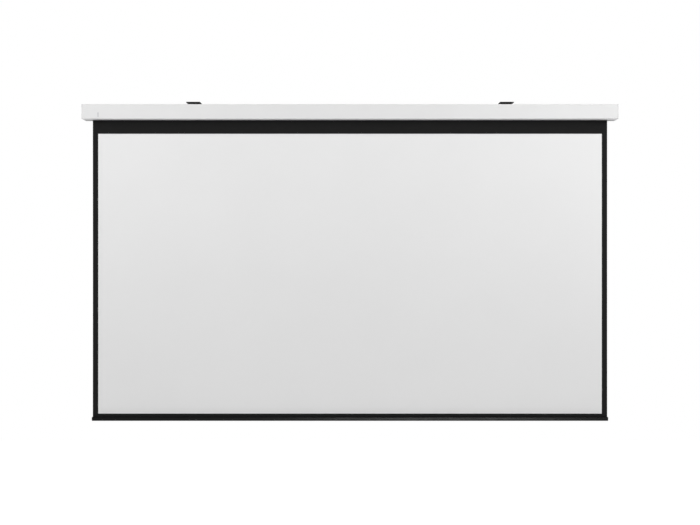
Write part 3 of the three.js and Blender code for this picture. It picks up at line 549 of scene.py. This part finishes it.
def build_gland():
    """The mains inlet: a flanged bush with rounded lips."""
    low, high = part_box("cable_gland")
    length = high.x - low.x
    rim = quarter(GLAND_FLANGE - GLAND_LIP, length - GLAND_LIP, GLAND_LIP, GLAND_LIP)
    mouth = quarter(GLAND_BORE + GLAND_LIP, length - GLAND_LIP, GLAND_LIP, GLAND_LIP, math.pi / 2, math.pi)
    mesh = lathe([
        (GLAND_BORE, 0),
        (GLAND_BODY, 0),
        (GLAND_BODY, length - GLAND_FLANGE_THICKNESS),
        (GLAND_FLANGE, length - GLAND_FLANGE_THICKNESS),
        *rim,
        *mouth,
    ], "gland")
    centre = middle("cable_gland")
    centre.x = high.x
    mesh.transform(Matrix.Translation(centre) @ Matrix.Rotation(-math.pi / 2, 4, "Y"))
    add_piece("cable_gland_bush", mesh, "case", "black_plastic", "cable_gland")


# Cloth

def places(*stops):
    """Places along a line: from each (start, count) to the next one in that many steps."""
    line = []
    for (start, count), (end, _) in zip(stops, stops[1:]):
        line += [start + (end - start) * i / count for i in range(count)]
    return [*line, stops[-1][0]]


def wave_at(x, z, height, spread, offset):
    """How far one layer of waves moves the cloth at a place."""
    return height * noise.noise(Vector((spread[0] * x, offset, spread[1] * z)))


def hanging_relief(x, z, half_width, top, bottom):
    """How far the cloth strays from its plane: soft waves, and a slight curl at the side edges.

    It doesn't stray at its top and bottom, where the roller and the bar hold it.
    """
    free = math.sin(math.pi * (top - z) / (top - bottom))
    waves = wave_at(x, z, **LONG_WAVE) + wave_at(x, z, **SHORT_WAVE)
    near_edge = max(0.0, 1 - (half_width - abs(x)) / EDGE_CURL_WIDTH)
    return free * (waves + EDGE_CURL * near_edge ** 2)


def sheet_mesh(name, columns, rows, plane, in_view=None, relief=None):
    """A closed sheet of the cloth's thickness over a grid of places, white where the picture is seen."""
    build = bmesh.new()

    def grid_point(x, z, side):
        return build.verts.new((x, plane + side + (relief(x, z) if relief else 0.0), z))

    sides = (-CLOTH_THICKNESS / 2, CLOTH_THICKNESS / 2)
    front, back = [[[grid_point(x, z, side) for x in columns] for z in rows] for side in sides]
    last_row, last_column = len(rows) - 1, len(columns) - 1
    white, black = 0, 1
    for r in range(last_row):
        for c in range(last_column):
            face = build.faces.new((front[r + 1][c], front[r + 1][c + 1], front[r][c + 1], front[r][c]))
            seen = in_view and in_view((columns[c] + columns[c + 1]) / 2, (rows[r] + rows[r + 1]) / 2)
            face.material_index = white if seen else black
            face = build.faces.new((back[r][c], back[r][c + 1], back[r + 1][c + 1], back[r + 1][c]))
            face.material_index = black
    rim = [(0, c) for c in range(last_column)] + [(r, last_column) for r in range(last_row)]
    rim += [(last_row, c) for c in range(last_column, 0, -1)] + [(r, 0) for r in range(last_row, 0, -1)]
    for (r, c), (s, d) in zip(rim, rim[1:] + rim[:1]):
        build.faces.new((front[r][c], front[s][d], back[s][d], back[r][c])).material_index = black
    return mesh_from(build, name, "screen_cloth", "black_cloth")


def build_cloth(columns, half_width, plane, top):
    """The drop and the picture, which wind up above the bottom border."""
    def in_view(x, z):
        return abs(x) < VIEW_WIDTH / 2 and z < VIEW_TOP

    def relief(x, z):
        return hanging_relief(x, z, half_width, top, VIEW_BOTTOM)

    rows = places((top, DROP_ROWS), (VIEW_TOP, VIEW_ROWS), (VIEW_BOTTOM, 0))
    mesh = sheet_mesh("cloth", columns, rows, plane, in_view, relief)
    cloth = add_piece("picture_cloth", mesh, "case", "screen_cloth", "screen_fabric")
    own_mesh(cloth)
    return cloth


def ribbon(name, centre, spine, low_x, high_x):
    """A strip of cloth along X that follows a spine of (place, outward direction) pairs about a centre."""
    build = bmesh.new()
    rings = []
    for x in (low_x, high_x):
        for side in (CLOTH_THICKNESS / 2, -CLOTH_THICKNESS / 2):
            points = [centre + place + side * outwards for place, outwards in spine]
            rings.append([build.verts.new((x, point.x, point.y)) for point in points])
    outer_low, inner_low, outer_high, inner_high = rings
    for i in range(len(spine) - 1):
        j = i + 1
        build.faces.new((outer_low[i], outer_low[j], outer_high[j], outer_high[i]))
        build.faces.new((inner_low[i], inner_high[i], inner_high[j], inner_low[j]))
        build.faces.new((outer_low[i], inner_low[i], inner_low[j], outer_low[j]))
        build.faces.new((outer_high[i], outer_high[j], inner_high[j], inner_high[i]))
    for i in (0, -1):
        build.faces.new((outer_low[i], outer_high[i], inner_high[i], inner_low[i]))
    return mesh_from(build, name, "black_cloth")


def spine_length(spine):
    return sum((after - before).length for (before, _), (after, _) in zip(spine, spine[1:]))


def direction(turn):
    return Vector((math.cos(turn), math.sin(turn)))


def build_wraps(plane):
    """The turns of cloth that stay on the roller: a spiral from the tangent at the rear, over the top."""
    low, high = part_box("fabric_wraps")
    roller = middle("roller_tube").yz
    outer = plane - roller.x
    pitch = CLOTH_THICKNESS + SEAT_GAP
    count = math.ceil(LATHE_STEPS * WRAP_TURNS)
    shares = [i / count for i in range(count + 1)]
    spine = []
    for share in shares:
        outwards = direction(2 * math.pi * WRAP_TURNS * share)
        spine.append(((outer - pitch * WRAP_TURNS * share) * outwards, outwards))
    mesh = ribbon("wraps", roller, spine, low.x, high.x)
    return add_piece("cloth_turns", mesh, "roller", "black_cloth", "fabric_wraps"), spine_length(spine)


def build_hem():
    """The hem in the bar's channel: the cloth goes down, round the rod and up again."""
    rod = middle("hem_rod").yz
    low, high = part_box("fabric_hem")
    radius = HEM_ROD_RADIUS + SEAT_GAP + CLOTH_THICKNESS / 2
    half_gap = (CLOTH_THICKNESS + PLY_GAP) / 2
    start = math.asin(half_gap / radius)
    shares = [i / LATHE_STEPS for i in range(LATHE_STEPS + 1)]
    loop = [direction(math.pi / 2 + start + 2 * (math.pi - start) * share) for share in shares]
    rise = high.z - rod.y
    spine = [(Vector((-half_gap, rise)), Vector((-1.0, 0.0)))]
    spine += [(radius * outwards, outwards) for outwards in loop]
    spine.append((Vector((half_gap, rise)), Vector((1.0, 0.0))))
    mesh = ribbon("hem", rod, spine, low.x, high.x)
    return add_piece("hem_loop", mesh, "bar", "black_cloth", "fabric_hem"), spine_length(spine)


def build_screen_cloth():
    """The cloth in its separate stretches: the drop and picture, the bottom border, the weld, the turns and
    the hem.
    """
    low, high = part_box("screen_fabric")
    half_width, plane = high.x, middle("screen_fabric").y
    edge = VIEW_WIDTH / 2
    stops = ((-half_width, EDGE_COLUMNS), (-edge, VIEW_COLUMNS), (edge, EDGE_COLUMNS), (half_width, 0))
    columns = places(*stops)
    cloth = build_cloth(columns, half_width, plane, high.z)
    border_rows = places((VIEW_BOTTOM - PLY_GAP, BORDER_ROWS), (low.z, 0))
    border_mesh = sheet_mesh("border", columns, border_rows, plane)
    border = add_piece("bottom_border", border_mesh, "bar", "black_cloth")
    weld_rows = places((low.z + WELD_HEIGHT, WELD_ROWS), (low.z, 0))
    weld_mesh = sheet_mesh("weld", columns, weld_rows, plane + CLOTH_THICKNESS + PLY_GAP)
    weld = add_piece("hem_weld", weld_mesh, "bar", "black_cloth")
    wraps, wound_length = build_wraps(plane)
    hem, hem_length = build_hem()


# Room

def white_rays(nodes, links):
    """1 for the rays that should see a plain white background, else 0."""
    rays = nodes.new("ShaderNodeLightPath")
    seen = rays.outputs["Is Camera Ray"]
    for name in ("Is Glossy Ray", "Is Transmission Ray"):
        either = nodes.new("ShaderNodeMath")
        either.operation = "MAXIMUM"
        links.new(seen, either.inputs[0])
        links.new(rays.outputs[name], either.inputs[1])
        seen = either.outputs["Value"]
    return seen


def build_world():
    world = bpy.data.worlds.new("studio")
    bpy.context.scene.world = world
    world.use_nodes = True
    nodes, links = world.node_tree.nodes, world.node_tree.links
    background = nodes["Background"]
    background.inputs["Color"].default_value = opaque(grey(1.0))
    level = nodes.new("ShaderNodeMapRange")
    level.inputs["To Min"].default_value = WORLD_STRENGTH
    level.inputs["To Max"].default_value = 1.0
    links.new(white_rays(nodes, links), level.inputs["Value"])
    links.new(level.outputs["Result"], background.inputs["Strength"])


def build_floor():
    bpy.ops.mesh.primitive_plane_add(size=FLOOR_SIZE, location=(0, 0, FLOOR_HEIGHT))
    floor = bpy.context.object
    floor.name = "floor"
    material = bpy.data.materials.new("floor_white")
    material.use_nodes = True
    nodes, links = material.node_tree.nodes, material.node_tree.links
    nodes.clear()
    output = nodes.new("ShaderNodeOutputMaterial")
    diffuse = nodes.new("ShaderNodeBsdfDiffuse")
    diffuse.inputs["Color"].default_value = opaque(grey(FLOOR_COLOR))
    glow = nodes.new("ShaderNodeEmission")
    level = nodes.new("ShaderNodeMath")
    level.operation = "MULTIPLY"
    level.inputs[1].default_value = FLOOR_GLOW
    links.new(white_rays(nodes, links), level.inputs[0])
    links.new(level.outputs["Value"], glow.inputs["Strength"])
    both = nodes.new("ShaderNodeAddShader")
    links.new(diffuse.outputs["BSDF"], both.inputs[0])
    links.new(glow.outputs["Emission"], both.inputs[1])
    links.new(both.outputs["Shader"], output.inputs["Surface"])
    floor.data.materials.append(material)


def add_lamp(name, place, target, size, watts):
    """A soft box that lights the object and isn't seen itself."""
    lamp = bpy.data.lights.new(name, "AREA")
    lamp.shape = "RECTANGLE"
    lamp.size, lamp.size_y = size
    lamp.energy = watts
    holder = bpy.data.objects.new(name, lamp)
    holder.location = place
    holder.rotation_mode = "QUATERNION"
    holder.rotation_quaternion = (Vector(target) - Vector(place)).to_track_quat("-Z", "Y")
    holder.visible_camera = False
    holder.visible_glossy = False
    bpy.context.scene.collection.objects.link(holder)
    return holder


def build_lamps():
    for name, lamp in LAMPS.items():
        add_lamp(name, **lamp)
    low_box = add_lamp("lamp_low", **GLOSS_LAMP)
    low_box.visible_glossy = True
    low_box.visible_diffuse = False


def build_camera():
    camera = bpy.data.cameras.new("camera")
    camera.lens = CAMERA_LENS
    camera.sensor_width = SENSOR_WIDTH
    camera.clip_end = CAMERA_REACH
    holder = bpy.data.objects.new("camera", camera)
    holder.location = CAMERA_PLACE
    holder.rotation_euler = (math.pi / 2, 0.0, 0.0)
    bpy.context.scene.collection.objects.link(holder)
    bpy.context.scene.camera = holder


bpy.context.scene.view_settings.view_transform = "Standard"
build_camera()
build_world()
build_floor()
build_lamps()
dress_cad_nodes()
build_cap_screws()
build_clamp_screws()
build_gland()
build_screen_cloth()
